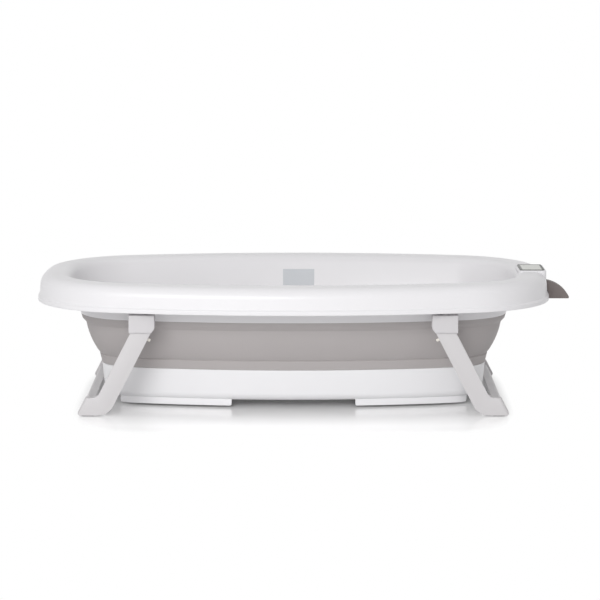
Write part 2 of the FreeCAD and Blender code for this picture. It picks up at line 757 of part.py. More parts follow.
def thermometer_window():
    wide = WINDOW_LEDGE
    return rounded_block(MODULE_HALF_X - wide, MODULE_HALF_Y - wide, WINDOW_Z, MODULE_TOP_Z,
                         MODULE_CORNER_R - wide)


def thermometer_display():
    inset = DISPLAY_MARGIN + MODULE_WALL
    return rounded_block(MODULE_HALF_X - inset, MODULE_HALF_Y - inset, DISPLAY_Z, WINDOW_Z, MODULE_INNER_R)


def thermometer_board():
    inset = WINDOW_LEDGE + MODULE_WALL + COVER_FIT
    return rounded_block(MODULE_HALF_X - inset, MODULE_HALF_Y - inset, BOARD_Z, DISPLAY_Z, MODULE_INNER_R)


def button_cell():
    return rod(CELL_R, (MODULE_X, CELL_Y, CELL_Z), (MODULE_X, CELL_Y, CELL_Z + CELL_H))


def battery_cover():
    disc = rod(COVER_R, (MODULE_X, CELL_Y, MODULE_FLOOR_Z), (MODULE_X, CELL_Y, CELL_Z))
    seat_z = (MODULE_FLOOR_Z + CAVITY_FLOOR_Z) / 2
    groove = Part.makeTorus(COVER_R, SEAL_SECTION_R, Vector(MODULE_X, CELL_Y, seat_z), UP)
    return disc.cut(groove)


def battery_seal():
    seat_z = (MODULE_FLOOR_Z + CAVITY_FLOOR_Z) / 2
    ring = Part.makeTorus(COVER_R, SEAL_SECTION_R, Vector(MODULE_X, CELL_Y, seat_z), UP)
    return ring.common(rod(COVER_R + COVER_FIT, (MODULE_X, CELL_Y, 0), (MODULE_X, CELL_Y, BIG)))


def temperature_sensor():
    low = MODULE_FLOOR_Z - SENSOR_PROUD
    return rod(SENSOR_R, (MODULE_X, SENSOR_Y, low), (MODULE_X, SENSOR_Y, low + SENSOR_LENGTH))


def all_parts():
    parts = {
        "rim_frame": rim_frame(),
        "fold_wall": fold_wall(),
        "base_tub": base_tub(),
        "drain_plug": drain_plug(),
        "inside_label": inside_label(),
        "hanging_hook": hanging_hook(),
        "hook_screws": compound(hook_screws()),
        "thermometer_case": thermometer_case(),
        "thermometer_window": thermometer_window(),
        "thermometer_display": thermometer_display(),
        "thermometer_board": thermometer_board(),
        "button_cell": button_cell(),
        "battery_cover": battery_cover(),
        "battery_seal": battery_seal(),
        "temperature_sensor": temperature_sensor(),
    }
    right_leg = leg_frame()
    parts["right_leg_frame"] = right_leg
    parts["left_leg_frame"] = mirror_x(right_leg)
    pads = four_ways(foot_pad(0.0))
    caps = four_ways(spring_cap())
    for side in ("left", "right"):
        ends = [f"{end}_{side}" for end in ("front", "back")]
        parts[f"{side}_foot_pads"] = compound(pads[end] for end in ends)
        parts[f"{side}_spring_caps"] = compound(caps[end] for end in ends)
    for corner, shape in four_ways(bracket()).items():
        parts[f"{corner}_bracket"] = shape
    for corner, shape in four_ways(lock_button()).items():
        parts[f"{corner}_lock_button"] = shape
    for corner, shape in four_ways(lock_spring()).items():
        parts[f"{corner}_lock_spring"] = shape
    parts["hinge_pins"] = compound(four_ways(hinge_pin()).values())
    screws = [copy for one in bracket_screws() for copy in four_ways(one).values()]
    parts["bracket_screws"] = compound(screws)
    return parts


def main():
    os.makedirs("parts", exist_ok=True)
    whole = FreeCAD.BoundBox()
    for name, shape in all_parts().items():
        placed = shape.translated(Vector(TUB_X, 0, 0))
        placed.exportStep(f"parts/{name}.step")
        whole.add(placed.optimalBoundingBox())
        state = "valid" if placed.isValid() else "NOT VALID"
        print(f"{name:24s} {len(placed.Solids)} solids {placed.Volume / 1000:9.2f} cm3 {state}")
    print("corner centre", round(CORNER_X, 2), round(CORNER_Y, 2))
    ends = (whole.XMin, whole.XMax, whole.YMin, whole.YMax, whole.ZMin, whole.ZMax)
    print("box", [round(v, 2) for v in ends])


main()
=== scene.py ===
"""Collapsible baby bath on folding legs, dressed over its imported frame, in metres.

Every piece is modelled about the bath's own middle, and set onto the frame's middle when it is finished.
"""
import math

import bpy
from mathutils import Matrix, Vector


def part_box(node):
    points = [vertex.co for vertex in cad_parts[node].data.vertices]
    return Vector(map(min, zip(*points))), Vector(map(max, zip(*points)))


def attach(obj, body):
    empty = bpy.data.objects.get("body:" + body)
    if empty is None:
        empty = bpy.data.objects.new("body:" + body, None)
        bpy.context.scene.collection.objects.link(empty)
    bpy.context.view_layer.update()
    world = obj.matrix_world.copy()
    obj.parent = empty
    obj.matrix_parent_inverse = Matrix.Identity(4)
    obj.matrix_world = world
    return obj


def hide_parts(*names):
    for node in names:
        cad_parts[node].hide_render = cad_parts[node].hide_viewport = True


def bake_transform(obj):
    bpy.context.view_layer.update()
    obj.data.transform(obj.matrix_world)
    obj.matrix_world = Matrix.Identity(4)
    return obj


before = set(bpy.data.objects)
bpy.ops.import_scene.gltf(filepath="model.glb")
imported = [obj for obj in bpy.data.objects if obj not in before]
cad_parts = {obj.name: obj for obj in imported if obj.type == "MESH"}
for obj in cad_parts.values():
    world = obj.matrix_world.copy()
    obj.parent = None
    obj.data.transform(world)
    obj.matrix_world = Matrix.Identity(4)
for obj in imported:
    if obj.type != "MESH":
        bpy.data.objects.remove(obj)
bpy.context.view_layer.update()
RIM_LOW, RIM_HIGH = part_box("rim_frame")
MIDDLE_X = (RIM_LOW.x + RIM_HIGH.x) / 2
UP = (0, 0, 1)
BACK = (0, 1, 0)
RIGHT = (1, 0, 0)
CORNERS = {"back_right": (1, 1), "back_left": (-1, 1), "front_right": (1, -1), "front_left": (-1, -1)}

bl_info = {
    "name": "Folding Baby Bath",
    "version": (1, 0, 0),
    "blender": (4, 5, 0),
    "location": "View3D > Sidebar > Baby Bath",
    "description": "Models the pieces of a collapsible baby bath on folding legs and sets its studio",
    "category": "Add Mesh",
}


def length(name, default, description):
    return bpy.props.FloatProperty(
        name=name, description=description, default=default, precision=4, unit="LENGTH")


def tint(name, default, description):
    return bpy.props.FloatVectorProperty(
        name=name, description=description, default=default, size=3, min=0.0, max=1.0, subtype="COLOR")


class RimSizes(bpy.types.PropertyGroup):
    half_length: length("Half length", RIM_HIGH.x - MIDDLE_X, "Half of the rim's length")
    half_width: length("Half width", RIM_HIGH.y, "Half of the rim's width")
    corner_radius: length("Corner radius", 0.166, "Radius of the oval's four corners")
    side_radius: length("Side radius", 1.19, "Radius of the bowed long sides")
    end_radius: length("End radius", 0.567, "Radius of the bowed ends")
    crest_height: length("Crest height", 0.206, "Top of the rolled rim above the floor")
    skirt_height: length("Skirt height", 0.164, "Lower edge of the outer skirt")
    wall: length("Wall", 0.003, "Thickness of the rim's wall")
    lip_out: length("Lip", 0.0025, "How far the lip stands out at the skirt's lower edge")
    lip_height: length("Lip height", 0.006, "Height of that lip")
    shoulder_radius: length("Shoulder radius", 0.019, "Rounding between skirt and crest")
    shoulder_inset: length("Shoulder inset", 0.0046, "Inset of the skirt at the crest's height")
    inner_radius: length("Inner radius", 0.016, "Rounding between crest and inner wall")
    crest_inset: length("Crest inset", 0.039, "Inset at which the inner rounding leaves the crest")
    collar_height: length("Collar height", 0.1425, "Lower edge of the inner wall")
    collar_inset: length("Collar inset", 0.068, "Inset of the inner wall's outer face at its lower edge")


class WallSizes(bpy.types.PropertyGroup):
    thickness: length("Thickness", 0.003, "Thickness of the soft wall")
    neck_drop: length("Neck drop", 0.007, "Depth of the upright neck below the collar")
    step_drop: length("Step drop", 0.0135, "Depth of the step below the collar")
    step_inset: length("Step inset", 0.008, "How far the step leads inwards")
    bulge: length("Bulge", 0.0032, "Swell of the main panel")
    crease_height: length("Crease height", 0.078, "Height of the lower fold")
    crease_inset: length("Crease inset", 0.098, "Inset of the lower fold")


class BaseSizes(bpy.types.PropertyGroup):
    top_height: length("Top height", 0.0627, "Upper edge of the base")
    top_inset: length("Top inset", 0.101, "Inset of the upper edge")
    wall: length("Wall", 0.003, "Thickness of the base")
    draft: length("Draft", 0.005, "How far the base narrows downwards")
    edge_radius: length("Edge radius", 0.014, "Rounding between side and floor")
    floor_height: length("Floor height", 0.0135, "Underside of the floor")
    ring_height: length("Foot ring height", 0.003, "Lower edge of the foot ring")
    ring_inset: length("Foot ring inset", 0.115, "Inset of the foot ring")
    ring_width: length("Foot ring width", 0.004, "Width of the foot ring")
    notch_half: length("Notch", 0.098, "Half of the notch in the long sides of the foot ring")
    end_notch_half: length("End notch", 0.078, "Half of the notch in the ends of the foot ring")
    drain_x: length("Drain place", 0.21, "Distance of the drain from the middle")
    drain_radius: length("Drain radius", 0.015, "Radius of the drain")


class LegSizes(bpy.types.PropertyGroup):
    pivot_x: length("Pivot place", 0.232, "Distance of the pins from the middle")
    pivot_height: length("Pivot height", 0.14, "Height of the pins")
    lean: bpy.props.FloatProperty(
        name="Lean", description="Outward lean of the arms", default=math.radians(27.3), subtype="ANGLE")
    outer_y: length("Outer face", 0.192, "Distance of the arms' outer faces from the middle")
    thickness: length("Thickness", 0.017, "Thickness of an arm")
    width: length("Width", 0.028, "Width of an arm")
    toe_reach: length("Toe reach", 0.0165, "How far the toe stands out from the arm")
    toe_height: length("Toe height", 0.029, "Top of the toe above the floor")
    pad_height: length("Pad height", 0.0012, "How far the rubber pads lift the toes")
    bar_height: length("Crossbar height", 0.022, "Top of the crossbar above the floor")


class BracketSizes(bpy.types.PropertyGroup):
    reach_in: length("Reach inwards", 0.017, "From the pin to the inner end")
    reach_out: length("Reach outwards", 0.023, "From the pin to the outer end")
    low: length("Lower edge", 0.1305, "Height of the lower edge")
    top: length("Top", 0.172, "Height of the top under the rim")
    cheek: length("Cheek", 0.004, "Wall on either side of the arm")
    corner_run: length("Corner run", 0.0055, "Length of the cut inner corner")
    corner_rise: length("Corner rise", 0.0077, "Height of the cut inner corner")
    ear: length("Ear", 0.014, "Length of the screwed ears")
    ear_thickness: length("Ear thickness", 0.004, "Thickness of the screwed ears")
    gap_low: length("Gap low", 0.1592, "Lower edge of the dark gap under the skirt")
    gap_high: length("Gap high", 0.1668, "Upper edge of that gap")
    gap_depth: length("Gap depth", 0.007, "Depth of that gap")
    seam_height: length("Seam height", 0.0018, "Height of the step along the lower edge")
    seam_depth: length("Seam depth", 0.0032, "Depth of that step")
    play: length("Play", 0.0005, "Play on either side of the arm")


class ThermometerSizes(bpy.types.PropertyGroup):
    place_x: length("Place", 0.3825, "Distance of the thermometer from the middle")
    size_x: length("Length", 0.0392, "Size along the bath")
    size_y: length("Width", 0.068, "Size across the bath")
    corner: length("Corner", 0.004, "Rounding of the upright corners")
    floor_height: length("Floor height", 0.1863, "Underside of the thermometer")
    top_height: length("Top height", 0.2094, "Top of the thermometer")
    ledge: length("Ledge", 0.0012, "Frame left round the window")
    window: length("Window", 0.0024, "Thickness of the window")
    # Width of the dark border on the pane and height of the dark band on the case: both are painted shade
    # for the window's edge faces and the gap round the window
    border: length("Border", 0.0022, "Width of the dark border round the pane")
    shade_band_height: length("Band height", 0.2083, "Lower edge of the dark band round the case's top")
    pocket_wall: length("Pocket wall", 0.0025, "Wall of the pocket in the rim")
    pocket_top: length("Pocket top", 0.208, "Top of the raised edge round the pocket")
    gap: length("Gap", 0.0004, "Play of the thermometer in its pocket")


class BathColours(bpy.types.PropertyGroup):
    rim: tint("Rim", (0.82, 0.810, 0.828), "Satin white of the rim")
    base: tint("Base", (0.87, 0.866, 0.882), "Satin white of the base")
    soft_wall: tint("Soft wall", (0.455, 0.427, 0.425), "Warm grey of the soft wall")
    leg: tint("Legs", (0.63, 0.613, 0.622), "Light grey of the leg frames")
    bracket: tint("Brackets", (0.64, 0.623, 0.638), "Pale grey of the brackets")
    button: tint("Buttons", (0.82, 0.79, 0.72), "Cream of the lock buttons")
    hook: tint("Hook", (0.205, 0.176, 0.168), "Dark taupe of the hanging hook")
    window: tint("Window", (0.56, 0.57, 0.52), "Green-grey of the thermometer's window")
    # Dark grey painted shade for the window's edges and the case's top band, where the edge faces and the
    # gap lie in shade
    border: tint("Window border", (0.135, 0.139, 0.128), "Dark grey round the window's pane")
    label: tint("Label", (0.60, 0.62, 0.65), "Grey of the plain film inside the back wall")
    stopper: tint("Stopper", (0.33, 0.32, 0.31), "Grey of the drain stopper")
    pad: tint("Pads", (0.20, 0.20, 0.195), "Grey of the foot pads")
    floor: tint("Floor", (0.93, 0.93, 0.93), "Pale studio floor")


def sizes(name):
    return getattr(bpy.context.scene, name)


def fresh():
    if bpy.context.object and bpy.context.object.mode != "OBJECT":
        bpy.ops.object.mode_set(mode="OBJECT")
    bpy.ops.object.select_all(action="DESELECT")


def only(piece):
    fresh()
    piece.select_set(True)
    bpy.context.view_layer.objects.active = piece


def edit(piece):
    only(piece)
    bpy.ops.object.mode_set(mode="EDIT")
    bpy.ops.mesh.select_all(action="SELECT")


def leave():
    bpy.ops.object.mode_set(mode="OBJECT")


def pick(piece, kind, test):
    """Select the polygons or edges that pass the test, and go into edit mode with them."""
    only(piece)
    for group in (piece.data.polygons, piece.data.edges, piece.data.vertices):
        group.foreach_set("select", [False] * len(group))
    bpy.context.tool_settings.mesh_select_mode = (False, kind == "edges", kind == "polygons")
    chosen = [element for element in getattr(piece.data, kind) if test(element)]
    if not chosen:
        raise RuntimeError(f"nothing was found on {piece.name}")
    for element in chosen:
        element.select = True
    bpy.ops.object.mode_set(mode="EDIT")


def close_mesh(piece):
    edit(piece)
    bpy.ops.mesh.remove_doubles(threshold=0.00001)
    bpy.ops.mesh.normals_make_consistent(inside=False)
    leave()


def modify(piece, kind, **settings):
    only(piece)
    modifier = piece.modifiers.new(kind.title(), kind)
    for name, value in settings.items():
        setattr(modifier, name, value)
    bpy.ops.object.modifier_apply(modifier=modifier.name)


def combine(piece, other, operation):
    modify(piece, "BOOLEAN", object=other, operation=operation, solver="EXACT")
    mesh = other.data
    bpy.data.objects.remove(other)
    bpy.data.meshes.remove(mesh)


def carve(piece, *cutters):
    for cutter in cutters:
        combine(piece, cutter, "DIFFERENCE")


def weld(piece, *others):
    for other in others:
        combine(piece, other, "UNION")


def soften(piece, width, segments=3, angle=35):
    modify(piece, "BEVEL", width=width, segments=segments, limit_method="ANGLE",
           angle_limit=math.radians(angle), use_clamp_overlap=True)


def arc(centre, radius, first, sweep, steps):
    """Points of an arc about a centre, from its first angle over its sweep."""
    points = []
    for step in range(steps + 1):
        angle = first + sweep * step / steps
        points.append((centre[0] + radius * math.cos(angle), centre[1] + radius * math.sin(angle)))
    return points


def rounded(corners, turn=9):
    """Outline through (u, v, radius) corners, with each corner rounded in steps of about turn degrees."""
    points = []
    for index, (u, v, radius) in enumerate(corners):
        here = Vector((u, v))
        if radius == 0:
            points.append((u, v))
            continue
        before = (Vector(corners[index - 1][:2]) - here).normalized()
        after = (Vector(corners[(index + 1) % len(corners)][:2]) - here).normalized()
        half = before.angle(after) / 2
        centre = here + (before + after).normalized() * (radius / math.sin(half))
        start = here + before * (radius / math.tan(half)) - centre
        end = here + after * (radius / math.tan(half)) - centre
        first = math.atan2(start.y, start.x)
        sweep = math.atan2(end.y, end.x) - first
        sweep = (sweep + math.pi) % (2 * math.pi) - math.pi
        steps = max(3, math.ceil(abs(math.degrees(sweep)) / turn))
        points += arc(centre, radius, first, sweep, steps)
    return points


def outline_loop(name, points, fill="NOTHING"):
    fresh()
    bpy.ops.mesh.primitive_circle_add(vertices=len(points), radius=0.01, fill_type=fill)
    piece = bpy.context.object
    piece.name = name
    piece.data.name = name
    for vertex, point in zip(piece.data.vertices, points):
        vertex.co = point
    return piece


def prism(name, points, run):
    """Solid that carries a flat outline of points along run."""
    piece = outline_loop(name, points, "NGON")
    edit(piece)
    bpy.ops.mesh.extrude_region_move(TRANSFORM_OT_translate={"value": run})
    bpy.ops.mesh.select_all(action="SELECT")
    bpy.ops.mesh.normals_make_consistent(inside=False)
    leave()
    return piece


def prism_y(name, outline, low, high):
    return prism(name, [(u, low, v) for u, v in outline], (0, high - low, 0))


def prism_z(name, outline, low, high):
    return prism(name, [(u, v, low) for u, v in outline], (0, 0, high - low))


def rounded_block(name, middle, half_x, half_y, low, high, radius):
    """Upright block about (middle, 0) with rounded upright edges."""
    corners = []
    for x, y in ((1, 1), (-1, 1), (-1, -1), (1, -1)):
        corners.append((middle + x * half_x, y * half_y, radius))
    return prism_z(name, rounded(corners), low, high)


def lathe(name, profile, centre, axis, side, steps=36):
    """Turned solid from (radius, height) points about an axis, starting towards side."""
    points = [Vector(centre) + Vector(side) * radius + Vector(axis) * height for radius, height in profile]
    piece = outline_loop(name, points)
    edit(piece)
    bpy.ops.mesh.spin(steps=steps, angle=2 * math.pi, center=centre, axis=axis)
    leave()
    close_mesh(piece)
    return piece


def drop_closing_edge(piece, count):
    """Open a loop of edges between its last point and its first."""
    pick(piece, "edges", lambda edge: set(edge.vertices) == {0, count - 1})
    bpy.ops.mesh.delete(type="EDGE_FACE")
    leave()


def corner_centre(rim):
    """Centre of the corner arc that touches the end arc and the side arc."""
    end_x = rim.half_length - rim.end_radius
    side_y = rim.half_width - rim.side_radius
    end_gap = rim.end_radius - rim.corner_radius
    side_gap = rim.side_radius - rim.corner_radius
    apart = math.hypot(end_x, side_y)
    along = (end_gap ** 2 - side_gap ** 2 + apart ** 2) / (2 * apart)
    across = math.sqrt(end_gap ** 2 - along ** 2)
    ux = -end_x / apart
    uy = side_y / apart
    return (end_x + ux * along - uy * across, uy * along + ux * across)


def oval_arcs():
    """The eight arcs of the oval: centre, radius, steps, first angle and last angle."""
    rim = sizes("bath_rim")
    corner_x, corner_y = corner_centre(rim)
    end_x = rim.half_length - rim.end_radius
    side_y = rim.half_width - rim.side_radius
    end_turn = math.atan2(corner_y, corner_x - end_x)
    side_turn = math.atan2(corner_y - side_y, corner_x)
    half = math.pi
    end = (rim.end_radius, 8)
    corner = (rim.corner_radius, 28)
    side = (rim.side_radius, 24)
    arcs = [
        (end_x, 0, *end, -end_turn, end_turn),
        (corner_x, corner_y, *corner, end_turn, side_turn),
        (0, side_y, *side, side_turn, half - side_turn),
        (-corner_x, corner_y, *corner, half - side_turn, half - end_turn),
    ]
    opposite = []
    for x, y, radius, steps, first, last in arcs:
        opposite.append((-x, -y, radius, steps, half + first, half + last))
    return arcs + opposite


def oval_ring(name, profile, closed=True):
    """Carry an (inset, height) profile once round the oval, arc by arc."""
    arcs = oval_arcs()
    x, y, radius, steps, first, last = arcs[0]
    points = []
    for inset, height in profile:
        reach = radius - inset
        points.append((x + reach * math.cos(first), y + reach * math.sin(first), height))
    piece = outline_loop(name, points)
    if not closed:
        drop_closing_edge(piece, len(points))
    edit(piece)
    for x, y, radius, steps, first, last in arcs:
        bpy.ops.mesh.spin(steps=steps, angle=last - first, center=(x, y, 0), axis=(0, 0, -1))
    leave()
    close_mesh(piece)
    return piece


def copy_piece(piece, name, mirror_x, mirror_y):
    """Copy with its own mesh, mirrored about the bath's middle where asked."""
    only(piece)
    bpy.ops.object.duplicate()
    copy = bpy.context.object
    copy.name = name
    copy.data.name = name
    copy.scale = (mirror_x, mirror_y, 1)
    bpy.ops.object.transform_apply(location=False, rotation=False, scale=True)
    edit(copy)
    bpy.ops.mesh.normals_make_consistent(inside=False)
    leave()
    return copy


def four_corners(piece, suffix):
    """The back right piece and its three mirrored copies, by corner."""
    pieces = {"back_right": piece}
    for corner, (x, y) in list(CORNERS.items())[1:]:
        pieces[corner] = copy_piece(piece, f"{corner}_{suffix}", x, y)
    return pieces


def second_finish(piece, material):
    """Give the faces that are selected in edit mode a finish of their own."""
    piece.data.materials.append(material)
    piece.active_material_index = 1
    bpy.ops.object.material_slot_assign()
    leave()


def finish_piece(piece, body, material, nodes, smooth=32):
    """Set a piece onto the frame: place, shading, finish, body and the nodes that it stands for."""
    only(piece)
    piece.location.x = MIDDLE_X
    bpy.ops.object.transform_apply(location=True, rotation=True, scale=True)
    edit(piece)
    bpy.ops.mesh.dissolve_degenerate(threshold=0.00001)
    leave()
    only(piece)
    bpy.ops.object.shade_smooth_by_angle(angle=math.radians(smooth))
    piece.data.materials.clear()
    piece.data.materials.append(material)
    if body:
        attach(piece, body)
    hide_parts(*nodes)


def add_node(tree, kind, **inputs):
    made = tree.nodes.new(kind)
    for name, value in inputs.items():
        made.inputs[name.replace("_", " ")].default_value = value
    return made


def math_node(tree, operation, first, second):
    """Result of a calculation with two sockets, or with a socket and a number."""
    made = tree.nodes.new("ShaderNodeMath")
    made.operation = operation
    for slot, value in zip(made.inputs, (first, second)):
        if isinstance(value, float):
            slot.default_value = value
        else:
            tree.links.new(value, slot)
    return made.outputs[0]


def ramp(tree, source, start, end, low, high, shape="LINEAR"):
    """Result that goes from low to high while the source goes from start to end."""
    made = add_node(tree, "ShaderNodeMapRange", From_Min=start, From_Max=end, To_Min=low, To_Max=high)
    made.interpolation_type = shape
    tree.links.new(source, made.inputs["Value"])
    return made.outputs["Result"]


def moulded(name, colour, roughness, grain, depth, mottle=0.03, spread=0.05, specular=0.5):
    """Moulded finish: fine surface grain, slow shifts of tone and of gloss."""
    material = bpy.data.materials.new(name)
    material.use_nodes = True
    tree = material.node_tree
    shader = tree.nodes["Principled BSDF"]
    shader.inputs["Specular IOR Level"].default_value = specular
    place = tree.nodes.new("ShaderNodeTexCoord")
    fine = add_node(tree, "ShaderNodeTexNoise", Scale=grain, Detail=2.0, Roughness=0.6)
    slow = add_node(tree, "ShaderNodeTexNoise", Scale=11.0, Detail=3.0, Roughness=0.55)
    bump = add_node(tree, "ShaderNodeBump", Strength=0.35, Distance=depth)
    tone = tree.nodes.new("ShaderNodeMix")
    tone.data_type = "RGBA"
    dark = [value * (1 - mottle) for value in colour]
    tone.inputs[6].default_value = (*dark, 1)
    tone.inputs[7].default_value = (*colour, 1)
    link = tree.links.new
    link(place.outputs["Object"], fine.inputs["Vector"])
    link(place.outputs["Object"], slow.inputs["Vector"])
    link(fine.outputs["Fac"], bump.inputs["Height"])
    link(bump.outputs["Normal"], shader.inputs["Normal"])
    link(slow.outputs["Fac"], tone.inputs["Factor"])
    link(tone.outputs[2], shader.inputs["Base Color"])
    gloss = ramp(tree, slow.outputs["Fac"], 0.3, 0.7, roughness - spread, roughness + spread)
    link(gloss, shader.inputs["Roughness"])
    return material


def finish_for(name):
    """The finish of one kind of piece, made once."""
    made = bpy.data.materials.get(name)
    if made:
        return made
    colours = sizes("bath_colours")
    recipes = {
        "rim_satin": (colours.rim, 0.34, 2600, 0.00003, 0.015),
        "base_satin": (colours.base, 0.36, 2600, 0.00003, 0.015),
        "soft_wall_matt": (colours.soft_wall, 0.66, 1900, 0.00010, 0.06),
        "leg_satin": (colours.leg, 0.45, 2200, 0.00005, 0.02),
        "bracket_satin": (colours.bracket, 0.42, 2400, 0.00004, 0.02),
        "button_gloss": (colours.button, 0.35, 2600, 0.00003, 0.03),
        "hook_satin": (colours.hook, 0.48, 2000, 0.00005, 0.06, 0.05, 0.35),
        "window_gloss": (colours.window, 0.18, 900, 0.00001, 0.02, 0.02, 0.16),
        # Dark finish that paints shade along the window's edges
        "border_gloss": (colours.border, 0.30, 900, 0.00001, 0.03, 0.02, 0.10),
        "display_film": ((0.32, 0.35, 0.29), 0.2, 900, 0.00001, 0.04),
        "label_film": (colours.label, 0.40, 1500, 0.00002, 0.04),
        "stopper_matt": (colours.stopper, 0.60, 1900, 0.00008, 0.05),
        "pad_matt": (colours.pad, 0.72, 1700, 0.00012, 0.08),
        "board_lacquer": ((0.02, 0.12, 0.04), 0.45, 1500, 0.00004, 0.1),
        "case_satin": (colours.rim, 0.40, 2600, 0.00003, 0.02),
        "plain_steel": ((0.50, 0.51, 0.53), 0.32, 3200, 0.00004, 0.10, 0.08),
    }
    material = moulded(name, *recipes[name])
    if name == "plain_steel":
        material.node_tree.nodes["Principled BSDF"].inputs["Metallic"].default_value = 1.0
    return material


def inner_lean(rim):
    """Lean of the inner wall, which leaves the crest's rounding at a tangent."""
    across = rim.collar_inset + rim.wall - rim.crest_inset
    down = rim.crest_height - rim.inner_radius - rim.collar_height
    return math.atan2(across, down) - math.asin(rim.inner_radius / math.hypot(across, down))


def rim_profile():
    """Section of the rolled rim: lip, skirt, crest, inner wall, and back along the inside."""
    rim = sizes("bath_rim")
    crest = rim.crest_height
    low = rim.skirt_height
    lip_top = low + rim.lip_height
    inside = rim.collar_inset + rim.wall
    slant = math.tan(inner_lean(rim))
    top_in = inside - slant * (crest - rim.collar_height)
    under = crest - rim.wall
    under_in = rim.collar_inset - slant * (under - rim.collar_height)
    shoulder = rim.shoulder_inset
    return rounded([
        (rim.wall, low, 0.0009),
        (0.0, low, 0.0011),
        (0.0, lip_top, 0.0014),
        (rim.lip_out, lip_top + rim.lip_out, 0.0012),
        (shoulder, crest, rim.shoulder_radius),
        (top_in, crest, rim.inner_radius),
        (inside, rim.collar_height, 0.0010),
        (rim.collar_inset, rim.collar_height, 0.0008),
        (under_in, under, rim.inner_radius - rim.wall),
        (shoulder + rim.wall, under, rim.shoulder_radius - rim.wall),
    ])


class BATH_OT_rim(bpy.types.Operator):
    """Rolled white rim with the raised pocket for the thermometer"""
    bl_idname = "bath.rim"
    bl_label = "Rim"

    def execute(self, context):
        meter = context.scene.bath_thermometer
        piece = oval_ring("rim", rim_profile())
        half_x = meter.size_x / 2 + meter.gap
        half_y = meter.size_y / 2 + meter.gap
        wall = meter.pocket_wall
        play = 0.0003
        seat = meter.floor_height - play
        above_rim = 0.25
        housing = rounded_block("pocket_wall", meter.place_x, half_x + wall, half_y + wall,
                                seat - wall, meter.pocket_top, meter.corner + wall)
        soften(housing, 0.0020, 4)
        hollow = rounded_block("pocket", meter.place_x, half_x, half_y, seat, above_rim, meter.corner)
        weld(piece, housing)
        carve(piece, hollow)
        finish_piece(piece, "bath_rim", finish_for("rim_satin"), ["rim_frame"])
        return {"FINISHED"}


class BATH_OT_soft_wall(bpy.types.Operator):
    """Soft grey wall that turns inside out when the base is pushed up"""
    bl_idname = "bath.soft_wall"
    bl_label = "Soft Wall"

    def execute(self, context):
        rim = context.scene.bath_rim
        wall = context.scene.bath_wall
        base = context.scene.bath_base
        top = rim.collar_height
        step = (rim.collar_inset + wall.step_inset, top - wall.step_drop)
        crease = (wall.crease_inset, wall.crease_height)
        run = math.dist(step, crease)
        panel = []
        for index in range(6):
            share = 0.16 + 0.14 * index
            swell = wall.bulge * 4 * share * (1 - share)
            inset = step[0] + (crease[0] - step[0]) * share - swell * (step[1] - crease[1]) / run
            height = step[1] + (crease[1] - step[1]) * share - swell * (crease[0] - step[0]) / run
            panel.append((inset, height, 0))
        neck_lean = 0.002
        bead = 0.0011
        bead_out = crease[0] - 0.0003
        bead_in = crease[0] + 0.0012
        outer = [
            (rim.collar_inset, top, 0),
            (rim.collar_inset + neck_lean, top - wall.neck_drop, 0.0035),
            (*step, 0.0045),
            *panel,
            (bead_out, crease[1] + bead, 0.0003),
            (bead_in, crease[1] + 0.0002, 0.0004),
            (bead_out, crease[1] - bead, 0.0006),
            (base.top_inset, base.top_height + 0.0003, 0.0006),
        ]
        face = outer[:-4] + [(*crease, 0.002), outer[-1]]
        inner = [(inset + wall.thickness, height, radius) for inset, height, radius in reversed(face)]
        piece = oval_ring("soft_wall", rounded(outer + inner))
        finish_piece(piece, None, finish_for("soft_wall_matt"), ["fold_wall"], 50)
        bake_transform(piece)
        return {"FINISHED"}


